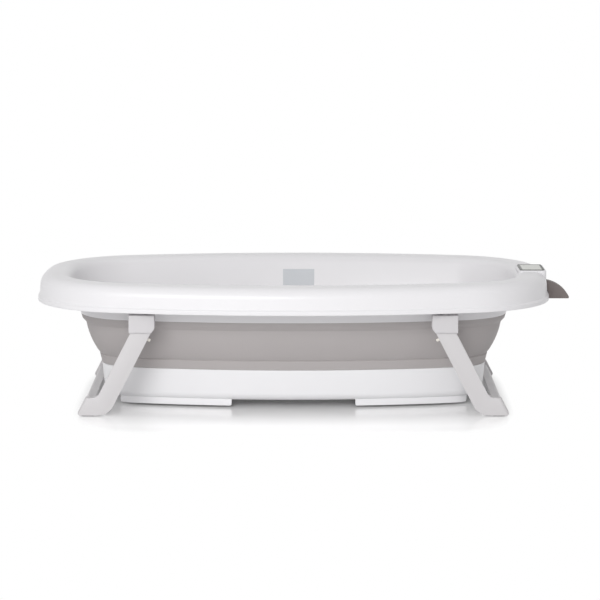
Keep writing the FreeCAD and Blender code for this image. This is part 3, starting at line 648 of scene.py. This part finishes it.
class BATH_OT_base(bpy.types.Operator):
    """White base with its floor, notched foot ring and drain"""
    bl_idname = "bath.base"
    bl_label = "Base"

    def floor_faces(self, piece, base):
        """Close the floor's two sides and sink a shallow panel into its top."""
        high = base.floor_height + base.wall
        for level in (base.floor_height, high):
            points = piece.data.vertices
            edge = {point.index for point in points if self.on_floor_edge(point.co, level, base)}
            pick(piece, "edges", lambda side: edge.issuperset(side.vertices))
            bpy.ops.mesh.edge_face_add()
            leave()
        pick(piece, "polygons",
             lambda face: abs(face.center.z - high) < 0.00005 and face.center.length < 0.05)
        panel_inset = 0.012
        panel_depth = 0.0008
        bpy.ops.mesh.inset(thickness=panel_inset)
        bpy.ops.mesh.inset(thickness=0.0012, depth=-panel_depth)
        leave()
        edit(piece)
        bpy.ops.mesh.normals_make_consistent(inside=False)
        leave()

    def on_floor_edge(self, point, level, base):
        """Whether a point lies at this level, within the line where the floor's rounding ends."""
        rim = sizes("bath_rim")
        reach = 0.0005 - base.top_inset - base.draft - base.edge_radius
        inside = abs(point.x) < rim.half_length + reach and abs(point.y) < rim.half_width + reach
        return inside and abs(point.z - level) < 0.00005

    def foot_ring(self, base):
        top = base.floor_height + base.wall / 2
        inner = base.ring_inset + base.ring_width
        ring = oval_ring("foot_ring", rounded([
            (base.ring_inset, base.ring_height, 0.0012),
            (base.ring_inset, top, 0),
            (inner, top, 0),
            (inner, base.ring_height, 0.0012),
        ]))
        past_side = 0.2
        past_end = 0.4
        side = prism_y("side_notch", self.notch(base, base.notch_half), -past_side, past_side)
        points = [(-past_end, u, v) for u, v in self.notch(base, base.end_notch_half)]
        carve(ring, side, prism("end_notch", points, (2 * past_end, 0, 0)))
        return ring

    def notch(self, base, half):
        """Outline of a notch that leaves the ring's lower corners rounded, from just below the ring."""
        below = 0.0002
        low = base.ring_height - below
        deep = base.floor_height + 0.0001
        wide = half + 0.01
        return rounded([
            (-wide, 0, 0),
            (wide, 0, 0),
            (wide, low, 0),
            (half, low, 0.0035),
            (half, deep, 0.0012),
            (-half, deep, 0.0012),
            (-half, low, 0.0035),
            (-wide, low, 0),
        ])

    def execute(self, context):
        base = context.scene.bath_base
        low = base.floor_height
        edge = base.top_inset + base.draft
        middle = edge + base.edge_radius
        profile = rounded([
            (middle, low, 0),
            (edge, low, base.edge_radius - 0.0001),
            (base.top_inset, base.top_height, 0.0008),
            (base.top_inset + base.wall, base.top_height, 0.0008),
            (edge + base.wall, low + base.wall, base.edge_radius - base.wall - 0.0001),
            (middle, low + base.wall, 0),
        ])
        piece = oval_ring("base", profile, closed=False)
        self.floor_faces(piece, base)
        weld(piece, self.foot_ring(base))
        radius = base.drain_radius
        flare = 0.0008
        deep = 0.0145
        bore = [(0, 0), (radius, 0), (radius, deep - 0.001), (radius + flare, deep), (0, deep)]
        carve(piece, lathe("drain", bore, (base.drain_x, 0, 0.002), UP, RIGHT))
        finish_piece(piece, "base", finish_for("base_satin"), ["base_tub"])
        return {"FINISHED"}


def arm_point(along, out):
    """(x, z) of a point along the arm from the pin and out from its middle line."""
    leg = sizes("bath_leg")
    x = leg.pivot_x + along * math.sin(leg.lean) + out * math.cos(leg.lean)
    z = leg.pivot_height - along * math.cos(leg.lean) + out * math.sin(leg.lean)
    return (x, z)


def arm_at_height(out, z):
    leg = sizes("bath_leg")
    along = (leg.pivot_height + out * math.sin(leg.lean) - z) / math.cos(leg.lean)
    return arm_point(along, out)


class BATH_OT_legs(bpy.types.Operator):
    """Two light grey leg frames with their rubber pads"""
    bl_idname = "bath.legs"
    bl_label = "Leg Frames"

    def arm(self, leg):
        """Back arm of the right frame: head, shank and toe, with pockets in its inner side."""
        half = leg.width / 2
        toe = half + leg.toe_reach
        shank = rounded([
            (*arm_point(0, half), 0),
            (*arm_at_height(half, leg.toe_height), 0.012),
            (*arm_at_height(toe, leg.toe_height), 0.005),
            (*arm_at_height(toe, leg.pad_height), 0.004),
            (*arm_at_height(-half, leg.pad_height), 0.03),
            (*arm_point(0, -half), 0),
        ])
        head = arc((leg.pivot_x, leg.pivot_height), half, leg.lean + math.pi, -math.pi, 24)
        inner = leg.outer_y - leg.thickness
        piece = prism_y("leg_arm", shank + head[1:-1], inner, leg.outer_y)
        carve(piece, self.toe_corner(leg, toe))
        soften(piece, 0.0013, 3, 28)
        wall = 0.003
        below_pin = 0.036
        pitch = 0.03
        run = 0.027
        side = half - wall
        for index in range(3):
            start = below_pin + pitch * index
            end = start + run
            corners = ((start, -side), (end, -side), (end, side), (start, side))
            pocket = [(*arm_point(along, out), 0.0025) for along, out in corners]
            carve(piece, prism_y("arm_pocket", rounded(pocket, 15), inner - 0.002, leg.outer_y - wall))
        return piece

    def toe_corner(self, leg, toe):
        """What is taken off to round the toe's outer upright corner."""
        radius = 0.005
        spare = 0.003
        from_pin = 0.105
        run = 0.08
        side = leg.outer_y
        section = [(toe + spare, side - radius), (toe + spare, side + spare), (toe - radius, side + spare)]
        section += arc((toe - radius, side - radius), radius, math.pi / 2, -math.pi / 2, 8)
        points = []
        for out, y in section:
            x, z = arm_point(from_pin, out)
            points.append((x, y, z))
        return prism("toe_corner", points, (run * math.sin(leg.lean), 0, -run * math.cos(leg.lean)))

    def crossbar(self, leg):
        half = leg.width / 2
        setback = 0.003
        inner = half + 0.0006
        outer = half + leg.toe_reach - setback
        low = leg.pad_height + setback
        outline = rounded([
            (*arm_at_height(inner, low), 0.002),
            (*arm_at_height(outer, low), 0.004),
            (*arm_at_height(outer, leg.bar_height), 0.004),
            (*arm_at_height(inner, leg.bar_height), 0.002),
        ])
        reach = leg.outer_y - leg.thickness + 0.003
        return prism_y("crossbar", outline, -reach, reach)

    def pads(self, leg):
        setback = 0.008
        run = 0.02
        half = 0.0055
        sunk = 0.0015
        tip = arm_at_height(leg.width / 2 + leg.toe_reach, leg.pad_height)[0] - setback
        middle = leg.outer_y - leg.thickness / 2
        near = middle - half
        far = middle + half
        corners = [(tip - run, near), (tip, near), (tip, far), (tip - run, far)]
        outline = rounded([(x, y, 0.003) for x, y in corners])
        pad = prism_z("right_foot_pads", outline, 0.0, leg.pad_height + sunk)
        soften(pad, 0.0005, 2)
        weld(pad, copy_piece(pad, "front_pad", 1, -1))
        return pad

    def execute(self, context):
        leg = context.scene.bath_leg
        right = self.arm(leg)
        right.name = "right_leg"
        right.data.name = "right_leg"
        weld(right, copy_piece(right, "front_arm", 1, -1), self.crossbar(leg))
        pads = self.pads(leg)
        left = copy_piece(right, "left_leg", -1, 1)
        left_pads = copy_piece(pads, "left_foot_pads", -1, 1)
        grey = finish_for("leg_satin")
        rubber = finish_for("pad_matt")
        for side, frame_piece, pad_piece in (("right", right, pads), ("left", left, left_pads)):
            finish_piece(frame_piece, f"{side}_leg", grey, [f"{side}_leg_frame"])
            finish_piece(pad_piece, f"{side}_leg", rubber, [f"{side}_foot_pads"])
        return {"FINISHED"}


class BATH_OT_brackets(bpy.types.Operator):
    """Four brackets under the rim, in which the arms turn"""
    bl_idname = "bath.brackets"
    bl_label = "Brackets"

    def across(self, x_in, x_out, low, high):
        """Outline that runs past both ends of a bracket between two heights."""
        spare = 0.001
        return [(x_in - spare, low), (x_out + spare, low), (x_out + spare, high), (x_in - spare, high)]

    def block(self, x_in, x_out, inner, outer, bracket):
        """Bevelled block with a cut corner, and the ears that are screwed to the rim."""
        low = bracket.low
        top = bracket.top
        piece = prism_y("back_right_bracket", rounded([
            (x_in, top, 0),
            (x_in, low + bracket.corner_rise, 0.0015),
            (x_in + bracket.corner_run, low, 0.0015),
            (x_out, low, 0.0015),
            (x_out, top, 0),
        ]), inner, outer)
        soften(piece, 0.0010)
        ear_in = x_in - bracket.ear
        ear_out = x_out + bracket.ear
        ear_low = top - bracket.ear_thickness
        bar = [(ear_in, ear_low), (ear_out, ear_low), (ear_out, top), (ear_in, top)]
        ears = prism_y("ears", bar, inner, outer)
        soften(ears, 0.0008)
        weld(piece, ears)
        return piece

    def execute(self, context):
        leg = context.scene.bath_leg
        bracket = context.scene.bath_bracket
        x_in = leg.pivot_x - bracket.reach_in
        x_out = leg.pivot_x + bracket.reach_out
        outer = leg.outer_y + bracket.cheek
        inner = leg.outer_y - leg.thickness - bracket.cheek
        piece = self.block(x_in, x_out, inner, outer, bracket)
        half = leg.width / 2
        stop = half + 0.0003
        ceiling = leg.pivot_height + half + 0.0065
        spare = 0.001
        below = bracket.low - spare
        room = [
            arm_at_height(stop, below),
            arm_point(0, stop),
            (leg.pivot_x, leg.pivot_height),
            (leg.pivot_x, ceiling),
            (x_in - spare, ceiling),
            (x_in - spare, below),
        ]
        skirt_gap = self.across(x_in, x_out, bracket.gap_low, bracket.gap_high)
        seam = self.across(x_in, x_out, below, bracket.low + bracket.seam_height)
        near = leg.outer_y - leg.thickness - bracket.play
        far = leg.outer_y + bracket.play
        swing = half + 0.0004
        head = [(0, 0), (swing, 0), (swing, far - near), (0, far - near)]
        pivot = (leg.pivot_x, near, leg.pivot_height)
        bore_radius = 0.004
        bore_depth = 0.0232
        bore = [(0, 0), (bore_radius, 0), (bore_radius, bore_depth), (0, bore_depth)]
        pin = (leg.pivot_x, inner - 0.0003, leg.pivot_height)
        carve(piece, prism_y("skirt_gap", skirt_gap, outer - bracket.gap_depth, outer + spare),
              prism_y("seam_gap", seam, outer - bracket.seam_depth, outer + spare),
              prism_y("arm_room", room, near, far),
              lathe("head_room", head, pivot, BACK, RIGHT, 48),
              lathe("pin_room", bore, pin, BACK, RIGHT, 24))
        grey = finish_for("bracket_satin")
        for corner, copy in four_corners(piece, "bracket").items():
            copy.name = f"{corner}_bracket_cover"
            finish_piece(copy, "bath_rim", grey, [f"{corner}_bracket"])
        return {"FINISHED"}


class BATH_OT_buttons(bpy.types.Operator):
    """Four cream lock buttons on the inner edges of the arms"""
    bl_idname = "bath.buttons"
    bl_label = "Lock Buttons"

    def execute(self, context):
        leg = context.scene.bath_leg
        half = leg.width / 2
        below_pin = 0.015
        nose_radius = 0.0024
        collar_radius = 0.0038
        x, z = arm_point(below_pin, 0)
        middle = (x, leg.outer_y - leg.thickness / 2, z)
        out = (math.cos(leg.lean), 0, math.sin(leg.lean))
        side = (math.sin(leg.lean), 0, -math.cos(leg.lean))
        tip = -half - 0.005
        shoulder = -half + 0.0033
        end = shoulder + 0.006
        outline = rounded([
            (0, tip, 0),
            (nose_radius, tip, 0.0014),
            (nose_radius, shoulder, 0.0002),
            (collar_radius, shoulder, 0.0004),
            (collar_radius, end, 0.0004),
            (0, end, 0),
        ])
        piece = lathe("back_right_button", outline, middle, out, side, 32)
        cream = finish_for("button_gloss")
        for corner, copy in four_corners(piece, "button").items():
            finish_piece(copy, f"{corner}_button", cream, [f"{corner}_lock_button"])
        return {"FINISHED"}


class BATH_OT_hook(bpy.types.Operator):
    """Dark hanging hook on the end of the rim"""
    bl_idname = "bath.hook"
    bl_label = "Hanging Hook"

    def execute(self, context):
        rim = context.scene.bath_rim
        end = rim.half_length
        reach = 0.034
        half = 0.01
        tip = end + reach
        top = 0.189
        low = 0.1595
        play = 0.0002
        lip = rim.skirt_height + rim.lip_height
        start = Vector((end - 0.0042, top))
        bend = Vector((end + 0.0211, 0.1784))
        finish = Vector((tip, low + 0.003))
        outline = self.three_point_arc(start, bend, finish, 14)
        outline += [
            (tip, low),
            (end + play, low),
            (end + play, lip),
            (end - rim.lip_out + 0.0003, lip + rim.lip_out),
        ]
        piece = prism_y("hook", outline, -half, half)
        soften(piece, 0.0016, 3, 30)
        pocket = rounded_block("hook_pocket", end + 0.013, half_x=0.009, half_y=0.007,
                               low=low - 0.002, high=0.174, radius=0.0015)
        carve(piece, pocket)
        finish_piece(piece, "bath_rim", finish_for("hook_satin"), ["hanging_hook"])
        return {"FINISHED"}

    def three_point_arc(self, start, middle, end, steps):
        """Points of the arc through three points."""
        ax, ay = start
        bx, by = middle
        cx, cy = end
        twice = 2 * (ax * (by - cy) + bx * (cy - ay) + cx * (ay - by))
        a2 = ax * ax + ay * ay
        b2 = bx * bx + by * by
        c2 = cx * cx + cy * cy
        ux = (a2 * (by - cy) + b2 * (cy - ay) + c2 * (ay - by)) / twice
        uy = (a2 * (cx - bx) + b2 * (ax - cx) + c2 * (bx - ax)) / twice
        radius = math.hypot(ax - ux, ay - uy)
        first = math.atan2(ay - uy, ax - ux)
        sweep = math.atan2(cy - uy, cx - ux) - first
        sweep = (sweep + math.pi) % (2 * math.pi) - math.pi
        return arc((ux, uy), radius, first, sweep, steps)


class BATH_OT_thermometer(bpy.types.Operator):
    """Thermometer with its glossy window"""
    bl_idname = "bath.thermometer"
    bl_label = "Thermometer"

    def case(self, meter, seat):
        """White case with the window's seat, the room inside, and the holes for battery and sensor."""
        half_x = meter.size_x / 2
        half_y = meter.size_y / 2
        side = 0.0042
        bottom = 0.002
        case = rounded_block("thermometer_body", meter.place_x, half_x, half_y, meter.floor_height,
                             meter.top_height, meter.corner)
        soften(case, 0.0008)
        ledge = meter.ledge
        window = rounded_block("window_seat", meter.place_x, half_x - ledge, half_y - ledge, seat,
                               meter.top_height + 0.002, meter.corner - ledge)
        room = rounded_block("inner_room", meter.place_x, half_x - side, half_y - side,
                             meter.floor_height + bottom, meter.top_height, 0.001)
        carve(case, window, room)
        low = meter.floor_height - 0.002
        deep = 0.008
        for name, radius, y in (("hatch", 0.0122, 0.01), ("probe", 0.003, -0.017)):
            hole = [(0, 0), (radius, 0), (radius, deep), (0, deep)]
            carve(case, lathe(name, hole, (meter.place_x, y, low), UP, RIGHT))
        # Cut the case at the lower edge of the dark band, which is painted shade for the gap round the
        # window
        edit(case)
        bpy.ops.mesh.bisect(plane_co=(0, 0, meter.shade_band_height), plane_no=UP)
        leave()
        return case

    def glass(self, meter, seat):
        play = 0.0001
        sunk = 0.0002
        inset = meter.ledge + play
        top = meter.top_height - sunk
        glass = rounded_block("thermometer_glass", meter.place_x, meter.size_x / 2 - inset,
                              meter.size_y / 2 - inset, seat, top, meter.corner - meter.ledge)
        soften(glass, 0.0006)
        return glass

    def execute(self, context):
        meter = context.scene.bath_thermometer
        seat = meter.top_height - meter.window
        case = self.case(meter, seat)
        glass = self.glass(meter, seat)
        # The dark border on the glass and the dark band on the case are painted shade of the window's edge
        # faces and the gap round it
        border = finish_for("border_gloss")
        finish_piece(case, "thermometer", finish_for("case_satin"), ["thermometer_case"])
        finish_piece(glass, "thermometer", border, ["thermometer_window"])
        top = max(vertex.co.z for vertex in glass.data.vertices)
        pick(glass, "polygons", lambda face: face.normal.z > 0.99 and face.center.z > top - 0.0001)
        bpy.ops.mesh.inset(thickness=meter.border)
        second_finish(glass, finish_for("window_gloss"))
        # The case's top above the band takes the dark painted-shade finish
        pick(case, "polygons", lambda face: face.center.z > meter.shade_band_height)
        second_finish(case, border)
        return {"FINISHED"}


class BATH_OT_label(bpy.types.Operator):
    """Plain film inside the back wall"""
    bl_idname = "bath.label"
    bl_label = "Wall Label"

    def execute(self, context):
        rim = context.scene.bath_rim
        low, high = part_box("inside_label")
        centre_y = rim.half_width - rim.side_radius
        inside = rim.collar_inset + rim.wall
        lean = inner_lean(rim)
        lift = 0.0001
        face = lift + 0.0004
        corners = []
        for height, out in ((low.z, lift), (high.z, lift), (high.z, face), (low.z, face)):
            inset = inside - math.tan(lean) * (height - rim.collar_height) + out / math.cos(lean)
            corners.append((rim.side_radius - inset, height))
        reach = corners[0][0]
        first = math.asin((low.x - MIDDLE_X) / reach)
        turn = math.asin((high.x - MIDDLE_X) / reach) - first
        points = [(r * math.sin(first), centre_y + r * math.cos(first), height) for r, height in corners]
        piece = outline_loop("wall_label", points, "NGON")
        edit(piece)
        bpy.ops.mesh.spin(steps=16, angle=turn, center=(0, centre_y, 0), axis=UP)
        leave()
        close_mesh(piece)
        finish_piece(piece, "bath_rim", finish_for("label_film"), ["inside_label"])
        return {"FINISHED"}


class BATH_OT_stopper(bpy.types.Operator):
    """Soft drain stopper with its pull tab"""
    bl_idname = "bath.stopper"
    bl_label = "Drain Stopper"

    def execute(self, context):
        base = context.scene.bath_base
        play = 0.0003
        seat = base.floor_height + base.wall + play
        stem = base.drain_radius - play
        stem_end = -0.006
        flange = 0.021
        crown = 0.003
        body = rounded([
            (0, stem_end, 0),
            (stem - 0.001, stem_end, 0.001),
            (stem, -0.002, 0.001),
            (stem, 0, 0),
            (flange, 0, 0.0006),
            (flange, 0.0022, 0.0012),
            (0.012, crown, 0.002),
            (0, crown, 0),
        ])
        x = base.drain_x
        piece = lathe("drain_stopper", body, (x, 0, seat), UP, RIGHT, 48)
        half = 0.009
        tab_foot = seat + 0.001
        tab_top = seat + 0.017
        tab_side = 0.0025
        tab = prism_y("pull_tab", rounded([
            (x - half, tab_foot, 0),
            (x + half, tab_foot, 0),
            (x + half, tab_top, 0.0081),
            (x - half, tab_top, 0.0081),
        ]), -tab_side, tab_side)
        soften(tab, 0.0010)
        weld(piece, tab)
        finish_piece(piece, "plug", finish_for("stopper_matt"), ["drain_plug"])
        return {"FINISHED"}


class BATH_OT_hardware(bpy.types.Operator):
    """Finishes of the pins, screws, springs and inner pieces that keep their own shape"""
    bl_idname = "bath.hardware"
    bl_label = "Hardware"

    def execute(self, context):
        steel = ["hinge_pins", "bracket_screws", "hook_screws", "button_cell", "temperature_sensor"]
        steel += [f"{corner}_lock_spring" for corner in CORNERS]
        finishes = {name: "plain_steel" for name in steel}
        finishes["left_spring_caps"] = "leg_satin"
        finishes["right_spring_caps"] = "leg_satin"
        finishes["thermometer_display"] = "display_film"
        finishes["thermometer_board"] = "board_lacquer"
        finishes["battery_cover"] = "case_satin"
        finishes["battery_seal"] = "pad_matt"
        for name, finish in finishes.items():
            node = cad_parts[name]
            node.data.materials.clear()
            node.data.materials.append(finish_for(finish))
        return {"FINISHED"}


class BATH_OT_stage(bpy.types.Operator):
    """Pale floor, soft lamps and the camera"""
    bl_idname = "bath.stage"
    bl_label = "Stage"

    def lamp(self, name, place, target, size, power):
        fresh()
        bpy.ops.object.light_add(type="AREA", location=place)
        lamp = bpy.context.object
        lamp.name = name
        lamp.data.shape = "RECTANGLE"
        lamp.data.size = size[0]
        lamp.data.size_y = size[1]
        lamp.data.energy = power
        way = Vector(target) - Vector(place)
        lamp.rotation_euler = way.to_track_quat("-Z", "Y").to_euler()

    def world(self):
        """White surround that lights more from the front than from behind, and shows as plain white."""
        world = bpy.data.worlds.new("studio")
        bpy.context.scene.world = world
        world.use_nodes = True
        tree = world.node_tree
        tree.nodes.clear()
        output = tree.nodes.new("ShaderNodeOutputWorld")
        way = tree.nodes.new("ShaderNodeTexCoord")
        parts = tree.nodes.new("ShaderNodeSeparateXYZ")
        light = add_node(tree, "ShaderNodeBackground", Color=(1, 1, 1, 1))
        shown = add_node(tree, "ShaderNodeBackground", Color=(1, 1, 1, 1), Strength=1.0)
        mix = tree.nodes.new("ShaderNodeMixShader")
        link = tree.links.new
        link(way.outputs["Generated"], parts.inputs["Vector"])
        strength = ramp(tree, parts.outputs["Y"], start=-1.0, end=1.0, low=0.68, high=0.44)
        link(strength, light.inputs["Strength"])
        link(self.seen_rays(tree), mix.inputs[0])
        link(light.outputs[0], mix.inputs[1])
        link(shown.outputs[0], mix.inputs[2])
        link(mix.outputs[0], output.inputs["Surface"])

    def seen_rays(self, tree):
        """Socket that is 1 for what the camera, a mirror or a clear piece sees."""
        path = tree.nodes.new("ShaderNodeLightPath")
        seen = path.outputs["Is Camera Ray"]
        for kind in ("Is Glossy Ray", "Is Transmission Ray"):
            seen = math_node(tree, "MAXIMUM", seen, path.outputs[kind])
        return seen

    def reach(self, tree, half_x, half_y, power_x, power_y):
        """Socket that rises outwards from the bath's middle, to 1 at these half sizes."""
        place = tree.nodes.new("ShaderNodeTexCoord")
        scaled = add_node(tree, "ShaderNodeMapping", Location=(-MIDDLE_X / half_x, 0, 0),
                          Scale=(1 / half_x, 1 / half_y, 1))
        parts = tree.nodes.new("ShaderNodeSeparateXYZ")
        tree.links.new(place.outputs["Object"], scaled.inputs["Vector"])
        tree.links.new(scaled.outputs["Vector"], parts.inputs["Vector"])
        along = math_node(tree, "POWER", parts.outputs["X"], power_x)
        across = math_node(tree, "POWER", parts.outputs["Y"], power_y)
        return math_node(tree, "ADD", along, across)

    def floor(self):
        """Pale floor that keeps the shadow near the bath and goes over to plain white around it. The glow
        that the camera sees is weaker towards the bath's middle, which is painted shade under and round
        the bath.
        """
        fresh()
        bpy.ops.mesh.primitive_plane_add(size=60, location=(0, 0, 0))
        floor = bpy.context.object
        floor.name = "studio_floor"
        material = moulded("studio_floor", sizes("bath_colours").floor, 0.14, 40, 0.00001, 0.004, 0.02)
        tree = material.node_tree
        seen = self.seen_rays(tree)
        patch = self.reach(tree, half_x=0.362, half_y=0.36, power_x=8.0, power_y=4.0)
        share = ramp(tree, patch, start=0.46, end=0.77, low=0.0, high=1.0, shape="SMOOTHSTEP")
        around = math_node(tree, "MULTIPLY", share, seen)
        # Glow for what the camera sees, from 0.04 under the bath's middle to 0.28 further out: painted
        # shade under and round the bath
        oval = self.reach(tree, half_x=0.62, half_y=0.30, power_x=4.0, power_y=4.0)
        away = math_node(tree, "POWER", oval, 0.5)
        painted_shade_glow = ramp(tree, away, start=0.12, end=0.80, low=0.04, high=0.28)
        level = math_node(tree, "MULTIPLY", painted_shade_glow, seen)
        white = add_node(tree, "ShaderNodeEmission", Color=(1, 1, 1, 1), Strength=1.0)
        lift = add_node(tree, "ShaderNodeEmission", Color=(1, 1, 1, 1))
        lifted = tree.nodes.new("ShaderNodeAddShader")
        mix = tree.nodes.new("ShaderNodeMixShader")
        link = tree.links.new
        link(level, lift.inputs["Strength"])
        link(tree.nodes["Principled BSDF"].outputs[0], lifted.inputs[0])
        link(lift.outputs[0], lifted.inputs[1])
        link(around, mix.inputs[0])
        link(lifted.outputs[0], mix.inputs[1])
        link(white.outputs[0], mix.inputs[2])
        link(mix.outputs[0], tree.nodes["Material Output"].inputs["Surface"])
        floor.data.materials.append(material)

    def camera(self):
        fresh()
        down = math.radians(8.115)
        bpy.ops.object.camera_add(location=(-0.0067, -4.4, 0.783))
        camera = bpy.context.object
        camera.name = "photo_camera"
        camera.rotation_euler = (math.pi / 2 - down, 0, 0)
        camera.data.lens = 165
        camera.data.sensor_width = 36
        camera.data.clip_end = 100
        bpy.context.scene.camera = camera

    def execute(self, context):
        context.scene.view_settings.view_transform = "Standard"
        self.world()
        self.floor()
        self.lamp("front", (-0.9, -3.1, 1.35), (0, 0, 0.1), (1.8, 0.8), 45)
        self.lamp("low_fill", (-0.3, -3.0, 0.25), (0, 0, 0.0), (2.4, 0.4), 4)
        self.camera()
        return {"FINISHED"}


class BATH_PT_panel(bpy.types.Panel):
    """Lists the bath's pieces in the order they are made"""
    bl_idname = "BATH_PT_panel"
    bl_label = "Folding Baby Bath"
    bl_space_type = "VIEW_3D"
    bl_region_type = "UI"
    bl_category = "Baby Bath"

    def draw(self, context):
        for operator in OPERATORS:
            self.layout.operator(operator.bl_idname)
        for name in GROUPS:
            box = self.layout.box()
            group = getattr(context.scene, name)
            for size in group.bl_rna.properties:
                if size.identifier not in ("rna_type", "name"):
                    box.prop(group, size.identifier)


GROUPS = {
    "bath_rim": RimSizes,
    "bath_wall": WallSizes,
    "bath_base": BaseSizes,
    "bath_leg": LegSizes,
    "bath_bracket": BracketSizes,
    "bath_thermometer": ThermometerSizes,
    "bath_colours": BathColours,
}
OPERATORS = (
    BATH_OT_rim, BATH_OT_soft_wall, BATH_OT_base, BATH_OT_legs, BATH_OT_brackets, BATH_OT_buttons,
    BATH_OT_hook, BATH_OT_thermometer, BATH_OT_label, BATH_OT_stopper, BATH_OT_hardware, BATH_OT_stage,
)


def register():
    for group in GROUPS.values():
        bpy.utils.register_class(group)
    for name, group in GROUPS.items():
        setattr(bpy.types.Scene, name, bpy.props.PointerProperty(type=group))
    for operator in OPERATORS:
        bpy.utils.register_class(operator)
    bpy.utils.register_class(BATH_PT_panel)


def unregister():
    bpy.utils.unregister_class(BATH_PT_panel)
    for operator in reversed(OPERATORS):
        bpy.utils.unregister_class(operator)
    for name, group in reversed(GROUPS.items()):
        delattr(bpy.types.Scene, name)
        bpy.utils.unregister_class(group)


def main():
    register()
    bpy.ops.bath.rim()
    bpy.ops.bath.soft_wall()
    bpy.ops.bath.base()
    bpy.ops.bath.legs()
    bpy.ops.bath.brackets()
    bpy.ops.bath.buttons()
    bpy.ops.bath.hook()
    bpy.ops.bath.thermometer()
    bpy.ops.bath.label()
    bpy.ops.bath.stopper()
    bpy.ops.bath.hardware()
    bpy.ops.bath.stage()


if __name__ == "__main__":
    main()
